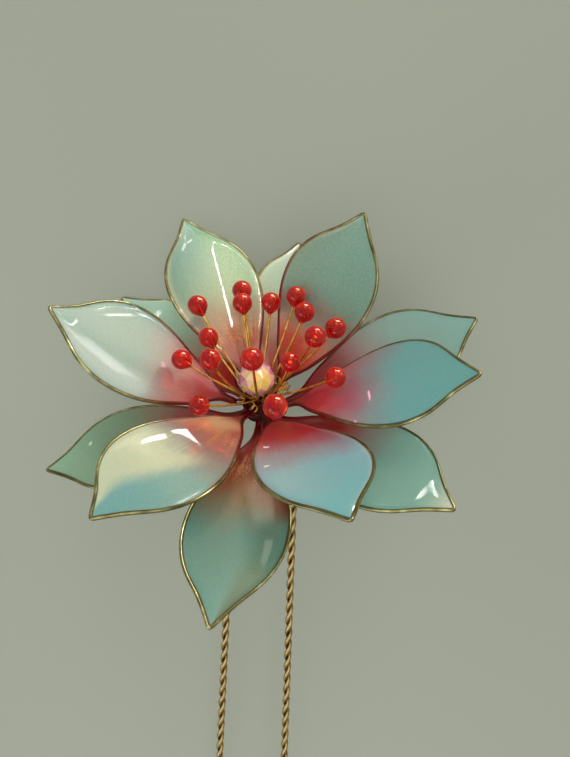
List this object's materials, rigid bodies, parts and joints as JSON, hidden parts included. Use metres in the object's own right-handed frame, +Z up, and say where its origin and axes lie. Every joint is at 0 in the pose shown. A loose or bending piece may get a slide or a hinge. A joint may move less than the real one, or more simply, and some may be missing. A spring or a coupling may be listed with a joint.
{
  "type": "hair stick",
  "caption": "Two-pronged twisted wire hair fork with a double flower of dipped resin petals, bead-tipped stamens and a faceted crystal.",
  "frame": {"origin": "centre of the bounding box on the surface the fork lies on", "axes": "+Y from the prong tips towards the flower, +Z up from the surface; the flower faces up and the prongs lie towards -Y"},
  "size_m": [0.0697, 0.1579, 0.0553],
  "materials": {
    "twisted_wire": "antique gilt, twisted from two strands",
    "binding": "thread-bound and dipped, glossy dark red-brown",
    "petal_wire": "pale gold, coated with resin",
    "petal_resin": "glossy translucent resin, crimson at the root and blue-green at the tip, with a pearl shimmer",
    "stamen_wire": "bright gold",
    "bead_resin": "clear glossy red",
    "crystal": "faceted, with an iridescent coating"
  },
  "bodies": {
    "root": {"fork": "twisted_wire", "stem_binding": "binding", "centre_crystal": "crystal", "crystal_pin": "stamen_wire", "inner_petal_wire_1": "petal_wire", "inner_petal_wire_2": "petal_wire", "inner_petal_wire_3": "petal_wire", "inner_petal_wire_4": "petal_wire", "inner_petal_wire_5": "petal_wire", "inner_petal_wire_6": "petal_wire", "inner_petal_film_1": "petal_resin", "inner_petal_film_2": "petal_resin", "inner_petal_film_3": "petal_resin", "inner_petal_film_4": "petal_resin", "inner_petal_film_5": "petal_resin", "inner_petal_film_6": "petal_resin", "outer_petal_wire_1": "petal_wire", "outer_petal_wire_2": "petal_wire", "outer_petal_wire_3": "petal_wire", "outer_petal_wire_4": "petal_wire", "outer_petal_wire_5": "petal_wire", "outer_petal_wire_6": "petal_wire", "outer_petal_film_1": "petal_resin", "outer_petal_film_2": "petal_resin", "outer_petal_film_3": "petal_resin", "outer_petal_film_4": "petal_resin", "outer_petal_film_5": "petal_resin", "outer_petal_film_6": "petal_resin", "stamen_wire_1": "stamen_wire", "stamen_wire_2": "stamen_wire", "stamen_wire_3": "stamen_wire", "stamen_wire_4": "stamen_wire", "stamen_wire_5": "stamen_wire", "stamen_wire_6": "stamen_wire", "stamen_wire_7": "stamen_wire", "stamen_wire_8": "stamen_wire", "stamen_wire_9": "stamen_wire", "stamen_wire_10": "stamen_wire", "stamen_wire_11": "stamen_wire", "stamen_wire_12": "stamen_wire", "stamen_wire_13": "stamen_wire", "stamen_wire_14": "stamen_wire", "stamen_wire_15": "stamen_wire", "stamen_wire_16": "stamen_wire", "stamen_bead_1": "bead_resin", "stamen_bead_2": "bead_resin", "stamen_bead_3": "bead_resin", "stamen_bead_4": "bead_resin", "stamen_bead_5": "bead_resin", "stamen_bead_6": "bead_resin", "stamen_bead_7": "bead_resin", "stamen_bead_8": "bead_resin", "stamen_bead_9": "bead_resin", "stamen_bead_10": "bead_resin", "stamen_bead_11": "bead_resin", "stamen_bead_12": "bead_resin", "stamen_bead_13": "bead_resin", "stamen_bead_14": "bead_resin", "stamen_bead_15": "bead_resin", "stamen_bead_16": "bead_resin"}
  },
  "joints": []
}
